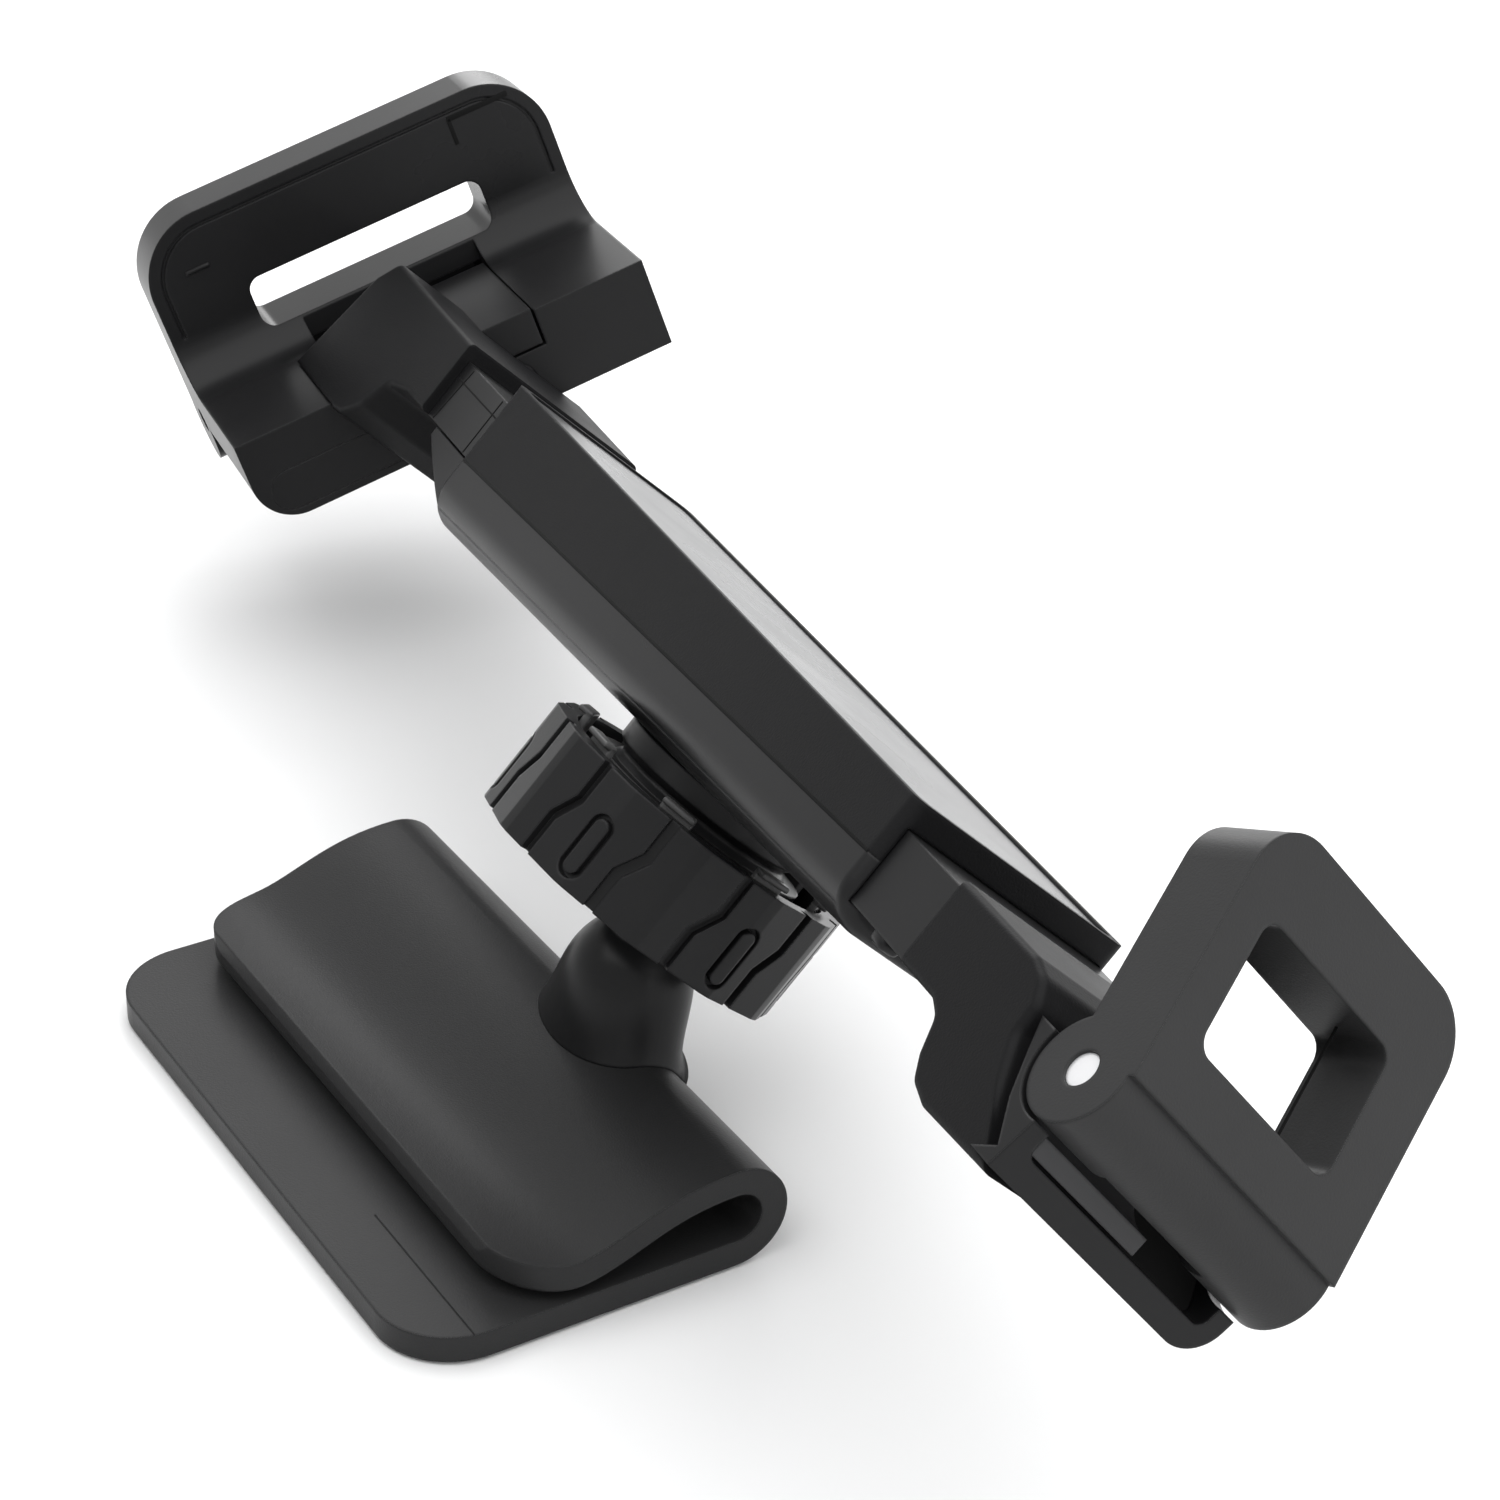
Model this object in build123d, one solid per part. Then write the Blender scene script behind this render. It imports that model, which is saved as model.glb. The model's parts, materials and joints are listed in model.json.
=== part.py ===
from build123d import *
import math
import os

os.makedirs("parts", exist_ok=True)

# Clip: one leaf folded like a hairpin. X runs along the fold, Y from the mouth to the fold.
clip_width = 82.4
clip_depth = 45.2
leaf_thickness = 3.2
fold_height = 12.5
clip_mouth = 11.6
mouth_gap = 1.4
mouth_lift = 0.9
throat_setback = 7.5
pad_thickness = 0.5
pad_inset = 0.7
near_enough = 0.05
lower_corner = 9.0
upper_corner = 9.0
mouth_flare = 0.28
pad_centre = 22.0

# Where the head stands over the clip, and how it is turned there.
head_x = 6.6
head_past_fold = 26.15
head_z = 54.55
head_turn = -11.3
head_pitch = -6.0
head_tilt = -42.7

# Ball joint. Its axis crosses the bar's back off centre.
joint_x = 8.2
joint_y = 1.2
ball_radius = 8.5
ball_depth = 26.0
running_gap = 0.05
liner_wall = 1.3
liner_slots = 4
liner_slot = 1.6
liner_mouth = 3.8
neck_radius = 4.0
stem_sections = ((11.0, 4.0, 4.0), (16.5, 7.6, 7.3), (21.0, 9.0, 7.4))
stem_root_x = 9.3
stem_root_past_fold = 1.65
stem_root_length = 27.0
stem_root_width = 15.0
stem_screw_pitch = 11.0
stem_screw_radius = 1.5
stem_screw_setback = 0.4
stem_head_radius = 2.6
stem_head_height = 1.2
stem_screw_depth = 6.5

# Socket, flange dish and lock ring, turned round the ball axis.
cup_wall = 1.5
dish_radius = 12.3
dish_rim = 2.4
waist_radius = 11.2
waist_step = 0.8
thread_radius = 12.0
thread_gap = 0.1
spigot_radius = 7.2
finger_slots = 8
finger_slot = 1.2
finger_depth = 4.2
ring_radius = 19.8
ring_flat = 19.3
ring_top = 21.0
ring_bottom = 34.0
ring_wall = 2.2
ring_hub_wall = 1.9
ring_web = 2.0
rib_thickness = 1.4
rib_height = 6.0
ring_phase = 8.0
ring_panels = 12
ring_groove = 1.3
ring_groove_depth = 1.0
ring_step = 1.6
tongue_width = 3.0
tongue_length = 8.0
tongue_line = 0.6
tongue_depth = 0.6

# Bar body: cover, panel and back shell.
body_length = 130.0
body_width = 29.9
arm_axis_depth = 9.0
back_far = 20.0
back_near = 14.3
parting_far = 11.8
parting_near = 6.9
body_wall = 1.2
cover_plate = 2.8
panel_thickness = 0.7
panel_depth = 1.0
rim_width = 1.1
panel_gap = 0.15
back_round = 4.6
end_round = 1.6
slide_gap = 0.15
shell_floor = 1.6
end_wall = 1.5
tail_length = 15.0
tail_tip = 1.2
swivel_plate_radius = 10.0
swivel_plate_thickness = 1.2
swivel_screw_count = 3
swivel_screw_circle = 5.2
swivel_screw_radius = 0.9
swivel_head_radius = 1.7
swivel_head_height = 0.9
swivel_screw_depth = 2.6

# Rack and pinion: one gear between the racks of the two arms.
gear_module = 1.0
gear_teeth = 12
tooth_addendum = 0.9
tooth_dedendum = 1.15
tooth_half = 0.58
pressure_slope = 0.36
gear_thickness = 4.0
rack_clearance = 0.2
axle_radius = 1.2
axle_head_radius = 2.0
axle_head_height = 0.8
boss_radius = 3.2

# Arms: channels that slide in the body, each with a round stub that carries a bracket.
arm_bottom = -2.6
arm_wall = 1.6
near_seam = 79.0
far_seam = -84.0
channel_reach = 49.0
stub_radius = 4.0
stub_length = 12.0
stub_z = 1.7
arm_end_wall = 3.0
rack_back = 10.6
rack_teeth = (-7, 4)
stub_screw_radius = 1.2
stub_screw_depth = 8.0
stub_washer_radius = 4.8
stub_washer_height = 1.2

# Near bracket and claw. Side outlines give the place along the bar and the height.
near_turn = -9.0
bracket_round = 0.8
bracket_bend = 2.0
foot_corner = 4.0
foot_reach = 40.0
near_bracket_outline = (
    (79.15, 7.0), (94.6, 7.0), (97.6, 6.2), (99.4, 4.2), (99.6, 1.1), (101.7, -1.7),
    (104.7, -5.6), (108.4, -9.0), (95.4, -9.6), (92.2, -8.8), (90.3, -6.8), (88.6, -3.6),
    (86.3, -2.6), (79.15, -2.6),
)
near_foot_outline = (
    (99.9, 1.4), (101.9, -1.4), (104.9, -5.3), (108.6, -8.7), (106.0, -10.4), (109.6, -10.4),
    (109.6, 1.4),
)
near_pin_x = 108.5
near_pin_z = 0.8
near_knuckle = 5.5
near_lean = 26.3
near_jaw_low = -14.3
near_jaw_high = 17.9
near_jaw_top = 28.2
near_jaw_outer = 6.2
near_jaw_thickness = 8.2
near_jaw_corner = 6.0
near_window = (20.4, 13.6)
near_window_y = 0.5
near_window_u = 12.9
near_window_corner = 1.8
near_foot_low = -14.5
near_foot_high = 17.0
slot_border = 2.2
slot_low = -7.6
slot_high = -0.8
slot_depth = 9.0
pin_radius = 1.75
pin_gap = 0.05
pin_sink = 0.3
lug_radius = 3.3
lug_low = -5.5
lug_high = 9.0
lug_gap = 0.4
lug_swing_rise = 2.4
lug_root = (100.9, -3.4, 1.4)
lug_shoulder = 1.0
over_cut = 1.0
slot_corner = 1.2
tongue_radius = 6.6
tongue_thickness = 0.8
tongue_end = 3.6
tongue_forward = 1.5

# Far bracket and claw.
far_turn = 61.0
far_bracket_outline = (
    (-84.15, 8.2), (-121.0, 8.7), (-124.5, 5.2), (-127.7, -6.2), (-129.5, -12.5),
    (-114.0, -12.4), (-105.2, -11.5), (-100.7, -8.5), (-97.8, -3.8), (-91.6, -2.6),
    (-84.15, -2.6),
)
far_inner = -137.0
far_front = -110.0
far_thickness = 8.5
far_top = 30.6
ledge_top = 7.1
foot_bottom = -5.9
far_low = -31.7
far_high = 30.0
far_corner = 10.0
border_inset = 1.8
border_line = 0.5
border_depth = 0.35
bend_radius = 7.0
far_window = (36.0, 7.5)
far_window_y = -0.7
far_window_z = 14.4
far_window_corner = 2.0
far_pin_x = -141.0
far_pin_z = 0.5
heel_radius = 5.4
heel_fall = 4.9
heel_bulge = 0.8
heel_rise = 1.5
foot_end_radius = 6.4
middle_half = 13.0
middle_gap = 0.4
middle_low = 2.2
middle_top = 7.5
middle_back = -133.2
middle_swing = 2.3
link_swing = 1.5
link_low = -1.15
link_high = 4.46
foot_room = 20.0
room_bottom = -41.8
hook_gap = 1.2
insert_depth = 0.8
insert_border = 2.2
insert_length = 40.0


def save(solid, node):
    """Write one named piece of the holder."""
    raised = Pos(0, 0, pad_thickness) * solid
    raised.label = node
    export_step(raised, os.path.join("parts", node + ".step"))


def turned(points, centre=(0, 0)):
    """A solid of revolution round the Z axis through centre, from points of radius and height."""
    outline = make_face(Plane.XZ * Polyline(*points, close=True))
    return Pos(centre[0], centre[1], 0) * revolve(outline, axis=Axis.Z)


def rounded_plate(length, width, radius, thickness):
    """A flat plate with rounded corners, standing on its own XY plane."""
    return extrude(RectangleRounded(length, width, radius), amount=thickness)


def across(outline, low, high):
    """A side outline in X and Z, drawn out across the bar from low to high."""
    start = Plane(origin=(0, low, 0), x_dir=(1, 0, 0), z_dir=(0, -1, 0))
    return extrude(start * make_face(outline), amount=low - high)


def softened(points, radius, low, high):
    """The edges of a closed outline whose corners with X from low to high are rounded."""
    face = make_face(Polyline(*points, close=True))
    chosen = face.vertices().filter_by(lambda v: low < v.X < high)
    return fillet(chosen, radius).edges()


def box_between(low, high):
    """A box given by two opposite corners."""
    size = [b - a for a, b in zip(low, high)]
    return Pos(*low) * Box(*size, align=(Align.MIN, Align.MIN, Align.MIN))


def screw_shape(gap):
    """A stem screw, head down, or with a gap the room it needs."""
    head_part = Pos(0, 0, -stem_head_height / 2 - gap) * Cylinder(
        stem_head_radius + gap, stem_head_height + 2 * gap,
        align=(Align.CENTER, Align.CENTER, Align.MIN),
    )
    shank = Cylinder(
        stem_screw_radius + gap, stem_screw_depth, align=(Align.CENTER, Align.CENTER, Align.MIN)
    )
    return head_part + shank


# The leaf's side outline is one band along a centre line, from the lower edge round the fold.
mouth_y = clip_mouth - pad_centre
front_y = -pad_centre
fold_outer = fold_height / 2
fold_y = clip_depth - pad_centre - fold_outer
mid_radius = fold_outer - leaf_thickness / 2
lower_mid = leaf_thickness / 2
upper_mid = fold_height - leaf_thickness / 2
throat_z = leaf_thickness + mouth_gap + leaf_thickness / 2
throat_y = mouth_y + throat_setback

# The head frame: X along the bar, Y across it, Z out of its front face.
# Its zero lies one arm_axis_depth under the front face.
head = (
    Pos(head_x, fold_y + head_past_fold, head_z)
    * Rot(Z=head_turn)
    * Rot(Y=head_pitch)
    * Rot(X=head_tilt)
    * Pos(0, 0, -arm_axis_depth)
)
ball_centre = Pos(joint_x, joint_y, arm_axis_depth - ball_depth)

lower_line = Line((front_y, lower_mid), (fold_y, lower_mid))
fold_line = ThreePointArc(
    (fold_y, lower_mid), (fold_y + mid_radius, fold_outer), (fold_y, upper_mid)
)
upper_line = Spline(
    (fold_y, upper_mid), (throat_y, throat_z), (mouth_y, throat_z + mouth_lift),
    tangents=((-1, 0), (-1, mouth_flare)),
)
lower_band = trace(lower_line, leaf_thickness)
fold_band = trace(fold_line, leaf_thickness)
upper_band = trace(upper_line, leaf_thickness)
fold_side = Plane.YZ * (fold_band + lower_band)
fold_leaf = extrude(fold_side, amount=clip_width / 2, both=True)
front_corners = fold_leaf.edges().filter_by(Axis.Z).filter_by(
    lambda e: e.center().Y < front_y + leaf_thickness
)
fold_leaf = fillet(front_corners, lower_corner)
upper_depth = fold_y - mouth_y
upper_plan = Pos(0, fold_y, leaf_thickness) * rounded_plate(
    clip_width, 2 * upper_depth, upper_corner, fold_height
)
upper_leaf = extrude(Plane.YZ * upper_band, amount=clip_width / 2, both=True) & upper_plan
leaf = fold_leaf + upper_leaf

# The thin pad bonded under the lower plate follows its rounded outline.
pad_length = clip_width - 2 * pad_inset
pad_depth = fold_y - front_y - pad_inset
pad_shape = rounded_plate(pad_length, pad_depth, lower_corner - pad_inset, pad_thickness)
base_pad = Pos(0, front_y + pad_inset + pad_depth / 2, -pad_thickness) * pad_shape

# Two screws hold the stem on the crest of the fold; their heads lie inside the gap.
crest_inside = fold_height - leaf_thickness
screw_places = [
    Pos(stem_root_x + side * stem_screw_pitch / 2, fold_y - stem_screw_setback, crest_inside)
    for side in (-1, 1)
]
for place in screw_places:
    leaf -= place * screw_shape(running_gap)
stem_screws = Part() + [place * screw_shape(0) for place in screw_places]

# Stem: a concave flare from the crest, leaning up to a narrow neck and the ball.
ball_frame = head * ball_centre
ball_point = ball_frame.position
root_point = Vector(stem_root_x, fold_y + stem_root_past_fold, fold_height - leaf_thickness)
stem_axis = Plane(origin=ball_point, x_dir=(1, 0, 0), z_dir=root_point - ball_point)
root_face = Plane(root_point) * Ellipse(stem_root_length / 2, stem_root_width / 2)
flare_faces = [
    stem_axis.offset(distance) * Ellipse(half_length, half_width)
    for distance, half_length, half_width in stem_sections
]
flare = loft([face.face() for face in flare_faces] + [root_face.face()])
neck = stem_axis * Cylinder(
    neck_radius, stem_sections[0][0], align=(Align.CENTER, Align.CENTER, Align.MIN)
)
ball = ball_frame * Sphere(ball_radius)
ball_stem = ball + neck + flare - leaf
for place in screw_places:
    ball_stem -= place * screw_shape(0)

# Ball liner: a slotted shell between ball and cup, open towards the stem.
liner_inner = ball_radius + running_gap
liner_outer = liner_inner + liner_wall
cup_inner = liner_outer + running_gap
liner = Sphere(liner_outer) - Sphere(liner_inner)
below_mouth = Pos(0, 0, -liner_mouth) * Box(
    4 * liner_outer, 4 * liner_outer, 2 * liner_outer, align=(Align.CENTER, Align.CENTER, Align.MAX)
)
liner -= below_mouth
for index in range(liner_slots):
    liner -= Rot(Z=index * 360 / liner_slots) * Pos(liner_outer, 0, -liner_mouth) * Box(
        liner_outer, liner_slot, 2 * liner_mouth
    )
ball_liner = ball_frame * liner

# Socket: cup with spigot, flange dish, waist and a threaded skirt slit into fingers.
back_at_joint = ball_depth - back_far + (back_far - back_near) * (body_length / 2 + joint_x) / body_length
cup_top = cup_inner + cup_wall
dish_top = back_at_joint - slide_gap
dish_low = dish_top - dish_rim
skirt_top = dish_low - dish_rim / 2
socket_outline = [
    (0, -finger_depth), (thread_radius, -finger_depth), (thread_radius, skirt_top - waist_step),
    (waist_radius, skirt_top), (waist_radius, dish_low - waist_step), (dish_radius, dish_low),
    (dish_radius, dish_top), (spigot_radius, dish_top), (spigot_radius, cup_top), (0, cup_top),
]
socket = turned(socket_outline) - Sphere(cup_inner)
for index in range(finger_slots):
    socket -= Rot(Z=(index + 0.5) * 360 / finger_slots) * Pos(thread_radius, 0, -finger_depth) * Box(
        thread_radius, finger_slot, 2 * finger_depth
    )
swivel_screw = Pos(swivel_screw_circle, 0, cup_top + swivel_plate_thickness) * turned([
    (0, -swivel_screw_depth), (swivel_screw_radius, -swivel_screw_depth),
    (swivel_screw_radius, 0), (swivel_head_radius, 0), (swivel_head_radius, swivel_head_height),
    (0, swivel_head_height),
])
screw_turn = 360 / swivel_screw_count
swivel_screws = Part() + [
    Rot(Z=index * screw_turn) * swivel_screw for index in range(swivel_screw_count)
]
swivel_plate = Pos(0, 0, cup_top) * Cylinder(
    swivel_plate_radius, swivel_plate_thickness, align=(Align.CENTER, Align.CENTER, Align.MIN)
)
for index in range(swivel_screw_count):
    socket -= Rot(Z=index * screw_turn) * swivel_screw
    swivel_plate -= Rot(Z=index * screw_turn) * swivel_screw
socket = ball_frame * socket
swivel_plate = ball_frame * swivel_plate
swivel_screws = ball_frame * swivel_screws

# Lock ring: a hub on the thread, a web and a lobed outer wall with twelve panels.
ring_high = ball_depth - ring_top
ring_low = ball_depth - ring_bottom
ring_height = ring_high - ring_low
hub_inner = thread_radius + thread_gap
hub_outer = hub_inner + ring_hub_wall
wall_inner = ring_flat - ring_wall
hub_low = -finger_depth
web_top = hub_low + ring_web
hub_high = skirt_top - waist_step
ring_hub_outline = [
    (hub_inner, hub_low), (wall_inner, hub_low), (wall_inner, web_top), (hub_outer, web_top),
    (hub_outer, hub_high), (hub_inner, hub_high),
]
ring_prism = extrude(
    Plane.XY.offset(ring_low) * RegularPolygon(ring_flat, ring_panels, major_radius=False),
    amount=ring_height,
)
round_blank = Pos(0, 0, ring_low) * Cylinder(
    ring_radius, ring_height, align=(Align.CENTER, Align.CENTER, Align.MIN)
)
wall_bore = Pos(0, 0, ring_low) * Cylinder(
    wall_inner, ring_height, align=(Align.CENTER, Align.CENTER, Align.MIN)
)
ring_wall_solid = (ring_prism & round_blank) - wall_bore
ring_middle = (ring_high + ring_low) / 2
groove_line = Polyline(
    (-ring_step / 2, ring_low - ring_step), (-ring_step / 2, ring_middle - ring_step),
    (ring_step / 2, ring_middle + ring_step), (ring_step / 2, ring_high + ring_step),
)
groove_shape = Plane.YZ.offset(ring_flat - ring_groove_depth) * trace(groove_line, ring_groove)
groove_cutter = extrude(groove_shape, amount=3 * ring_groove_depth)
tongue_outer = SlotOverall(tongue_length, tongue_width, rotation=90)
tongue_inner = SlotOverall(
    tongue_length - 2 * tongue_line, tongue_width - 2 * tongue_line, rotation=90
)
tongue_shape = Plane.YZ.offset(ring_flat - tongue_depth) * (
    Pos(0, ring_middle - tongue_width / 2) * (tongue_outer - tongue_inner)
)
tongue_cutter = extrude(tongue_shape, amount=3 * tongue_depth)
panel_turn = 360 / ring_panels
for index in range(ring_panels):
    ring_wall_solid -= Rot(Z=(index + 0.5) * panel_turn) * groove_cutter
    if index % 2 == 0:
        ring_wall_solid -= Rot(Z=index * panel_turn) * tongue_cutter
ring_hub = turned(ring_hub_outline)
lock_ring = ring_wall_solid + ring_hub
for index in range(ring_panels // 2):
    rib = Pos((hub_outer + wall_inner) / 2, 0, web_top) * Box(
        wall_inner - hub_outer + ring_wall / 2, rib_thickness, rib_height,
        align=(Align.CENTER, Align.CENTER, Align.MIN),
    )
    lock_ring += Rot(Z=(index + 0.5) * 2 * panel_turn) * rib
lock_ring = ball_frame * Rot(Z=ring_phase) * lock_ring

# Body blank: the front is flat, the back slopes from a deep far end to a shallow near end.
half_body = body_length / 2
half_width = body_width / 2
front_z = arm_axis_depth
back_far_z = front_z - back_far
back_near_z = front_z - back_near
parting_far_z = front_z - parting_far
parting_near_z = front_z - parting_near
cover_under = front_z - cover_plate
body_side = Polyline(
    (-half_body, front_z), (half_body, front_z), (half_body, back_near_z),
    (-half_body, back_far_z), close=True,
)
blank = extrude(Plane.XZ * make_face(body_side), amount=half_width, both=True)
back_edges = blank.edges().filter_by(
    lambda e: e.length > body_length - end_round and e.center().Z < 0
)
blank = fillet(back_edges, back_round)
upright_ends = blank.edges().filter_by(Axis.Z)
blank = fillet(upright_ends, end_round)

# The hollow: a deep room in the middle, and at each end a mouth only as deep as the arm.
inside_width = body_width - 2 * body_wall
room_end = half_body - end_wall
room_side = Polyline(
    (-room_end, cover_under), (room_end, cover_under), (room_end, back_near_z + shell_floor),
    (-room_end, back_far_z + shell_floor), close=True,
)
room = extrude(Plane.XZ * make_face(room_side), amount=inside_width / 2, both=True)
mouth_low = arm_bottom - slide_gap
mouth_height = cover_under - mouth_low
arm_mouth = Pos(0, 0, mouth_low) * Box(
    2 * body_length, inside_width, mouth_height, align=(Align.CENTER, Align.CENTER, Align.MIN)
)
parting_slope = (parting_near_z - parting_far_z) / body_length
parting_middle = (parting_near_z + parting_far_z) / 2
parting_side = Polyline(
    (-body_length, parting_middle - parting_slope * body_length),
    (body_length, parting_middle + parting_slope * body_length),
    (body_length, 4 * front_z), (-body_length, 4 * front_z), close=True,
)
above_parting = extrude(Plane.XZ * make_face(parting_side), amount=body_width, both=True)

# The far end's tail runs on under the arm as a thin curved lip.
tail_end = -half_body - tail_length
tail_top = mouth_low - slide_gap
tail_side = [
    Line((-half_body + end_round, tail_top), (tail_end, tail_top)),
    Line((tail_end, tail_top), (tail_end, tail_top - tail_tip)),
    ThreePointArc(
        (tail_end, tail_top - tail_tip),
        ((tail_end - half_body) / 2, (tail_top - tail_tip + back_far_z) / 2 + tail_tip / 2),
        (-half_body + end_round, back_far_z + tail_tip),
    ),
    Line((-half_body + end_round, back_far_z + tail_tip), (-half_body + end_round, tail_top)),
]
tail = extrude(Plane.XZ * make_face(tail_side), amount=half_width - end_round, both=True)

hollow_blank = blank - room - arm_mouth
cover = hollow_blank & above_parting
shell = (hollow_blank - above_parting) + tail

# Cover: a recess inside a narrow rim takes the smooth panel.
recess_length = body_length - 2 * rim_width
recess_width = body_width - 2 * rim_width
recess = Pos(0, 0, front_z - panel_depth) * rounded_plate(
    recess_length, recess_width, end_round, 2 * panel_depth
)
cover -= recess
panel = Pos(0, 0, front_z - panel_depth) * rounded_plate(
    recess_length - 2 * panel_gap, recess_width - 2 * panel_gap, end_round, panel_thickness
)
pinion_low = -gear_thickness / 2 + stub_z
pinion_high = pinion_low + gear_thickness
boss = Pos(0, 0, pinion_high + rack_clearance) * Cylinder(
    boss_radius, cover_under - pinion_high - rack_clearance + panel_gap,
    align=(Align.CENTER, Align.CENTER, Align.MIN),
)
cover += boss
axle_top = front_z - panel_depth - panel_gap
axle_low = pinion_low - rack_clearance - axle_head_height
axle = turned([
    (0, axle_low), (axle_head_radius, axle_low), (axle_head_radius, pinion_low - rack_clearance),
    (axle_radius, pinion_low - rack_clearance), (axle_radius, axle_top), (0, axle_top),
])
cover -= axle

# Back shell: a round hole for the socket's spigot, and a plate inside that holds the socket on.
spigot_hole = Pos(joint_x, joint_y, 0) * Cylinder(
    spigot_radius + running_gap, 4 * front_z
)
dish_seat = Pos(joint_x, joint_y, arm_axis_depth - ball_depth + dish_top + slide_gap) * Cylinder(
    dish_radius + slide_gap, 2 * dish_rim, align=(Align.CENTER, Align.CENTER, Align.MAX)
)
plate_low = arm_axis_depth - ball_depth + cup_top
plate_seat = Pos(joint_x, joint_y, plate_low - slide_gap) * Cylinder(
    swivel_plate_radius + slide_gap, shell_floor, align=(Align.CENTER, Align.CENTER, Align.MAX)
)
shell += plate_seat
shell -= spigot_hole + dish_seat

# Gear with straight flanks, meeting a rack on either side.
pitch_radius = gear_module * gear_teeth / 2
tip_half = tooth_half - tooth_addendum * pressure_slope
root_half = tooth_half + tooth_dedendum * pressure_slope
root_radius = pitch_radius - tooth_dedendum
gear_tooth = Polyline(
    (root_radius - tooth_dedendum, -root_half), (root_radius, -root_half),
    (pitch_radius + tooth_addendum, -tip_half), (pitch_radius + tooth_addendum, tip_half),
    (root_radius, root_half), (root_radius - tooth_dedendum, root_half), close=True,
)
gear_face = Circle(root_radius)
for index in range(gear_teeth):
    gear_face += Rot(Z=90 + index * 360 / gear_teeth) * make_face(gear_tooth)
gear_face -= Circle(axle_radius + running_gap)
pinion = extrude(Plane.XY.offset(pinion_low) * gear_face, amount=gear_thickness)
rack_pitch = math.pi * gear_module
rack_low = pinion_low + rack_clearance
rack_thickness = gear_thickness - 2 * rack_clearance
rack_tip = pitch_radius - tooth_addendum
rack_root = pitch_radius + tooth_dedendum


def rack_arm(seam, channel_end, stub_end):
    """One arm on the near side: toothed bar, channel with a closed end, and the round stub."""
    first, last = rack_teeth
    rack_start = first * rack_pitch
    bar_points = [(rack_start, rack_back), (rack_start, rack_root)]
    for number in range(first, last + 1):
        middle = (number + 0.5) * rack_pitch
        bar_points += [
            (middle - root_half, rack_root), (middle - tip_half, rack_tip),
            (middle + tip_half, rack_tip), (middle + root_half, rack_root),
        ]
    bar_points += [(channel_end + arm_end_wall, rack_root), (channel_end + arm_end_wall, rack_back)]
    bar = extrude(
        Plane.XY.offset(rack_low) * make_face(Polyline(*bar_points, close=True)),
        amount=rack_thickness,
    )
    arm_half = inside_width / 2 - slide_gap
    arm_top = cover_under - slide_gap
    arm_height = arm_top - arm_bottom
    length = seam - channel_end
    channel = Pos((seam + channel_end) / 2, 0, arm_bottom) * Box(
        length, 2 * arm_half, arm_height, align=(Align.CENTER, Align.CENTER, Align.MIN)
    )
    hollow = Pos((seam - arm_end_wall + channel_end - arm_end_wall) / 2, 0, arm_bottom - arm_wall) * Box(
        length, 2 * (arm_half - arm_wall), arm_height, align=(Align.CENTER, Align.CENTER, Align.MIN)
    )
    tie = Pos(channel_end + arm_end_wall, (rack_root + arm_half) / 2, rack_low) * Box(
        4 * arm_end_wall, arm_half - rack_root, rack_thickness,
        align=(Align.CENTER, Align.CENTER, Align.MIN),
    )
    stub = Pos(seam, 0, stub_z) * Rot(Y=90) * Cylinder(
        stub_radius, stub_end - seam, align=(Align.CENTER, Align.CENTER, Align.MIN)
    )
    return channel - hollow + bar + tie + stub


arm_near = rack_arm(near_seam, near_seam - channel_reach, near_seam + stub_length)
arm_far = Rot(Z=180) * rack_arm(-far_seam, -far_seam - channel_reach, stub_length - far_seam)

# Bracket bores turn on the stubs; a washer and screw on each stub's end keep the bracket on.
def stub_room(seam, stub_end, outward):
    """The space a stub, its washer and its screw need inside a bracket."""
    turn = Rot(Y=90 * outward)
    bore = turn * Cylinder(
        stub_radius + running_gap, abs(stub_end - seam) + slide_gap,
        align=(Align.CENTER, Align.CENTER, Align.MIN),
    )
    pocket = turn * Pos(0, 0, abs(stub_end - seam)) * Cylinder(
        stub_washer_radius + slide_gap, stub_washer_height + 4 * slide_gap,
        align=(Align.CENTER, Align.CENTER, Align.MIN),
    )
    return Pos(seam, 0, stub_z) * (bore + pocket)


def stub_screw(stub_end, outward):
    """Screw with a broad flat head that stands on the stub's end."""
    shape = turned([
        (0, -stub_screw_depth), (stub_screw_radius, -stub_screw_depth), (stub_screw_radius, 0),
        (stub_washer_radius, 0), (stub_washer_radius, stub_washer_height), (0, stub_washer_height),
    ])
    return Pos(stub_end, 0, stub_z) * Rot(Y=90 * outward) * shape


near_stub_end = near_seam + stub_length
far_stub_end = far_seam - stub_length
screw_near = stub_screw(near_stub_end, 1)
screw_far = stub_screw(far_stub_end, -1)
arm_near -= screw_near
arm_far -= screw_far

# Near claw: the foot is the bracket's slotted end frame, and the jaw hinges in front of it.
near_claw = Rot(X=near_turn)
near_foot = across(Polyline(*near_foot_outline, close=True), near_foot_low, near_foot_high)
lean_in = math.radians(near_lean)
up_x = -math.sin(lean_in)
up_z = math.cos(lean_in)


def near_place(outward, up):
    """A point of the near jaw's side outline, measured from its pin along and across its lean."""
    return (near_pin_x + outward * up_z + up * up_x, near_pin_z - outward * up_x + up * up_z)


near_inner = near_jaw_outer - near_jaw_thickness
jaw_plate_side = Polyline(
    near_place(near_inner, 0), near_place(near_inner, near_jaw_top),
    near_place(near_jaw_outer, near_jaw_top), near_place(near_jaw_outer, 0), close=True,
)


def near_barrel(radius, low, high):
    """A cylinder round the near pin."""
    return across(Pos(near_pin_x, near_pin_z) * Circle(radius).edge(), low, high)


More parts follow.
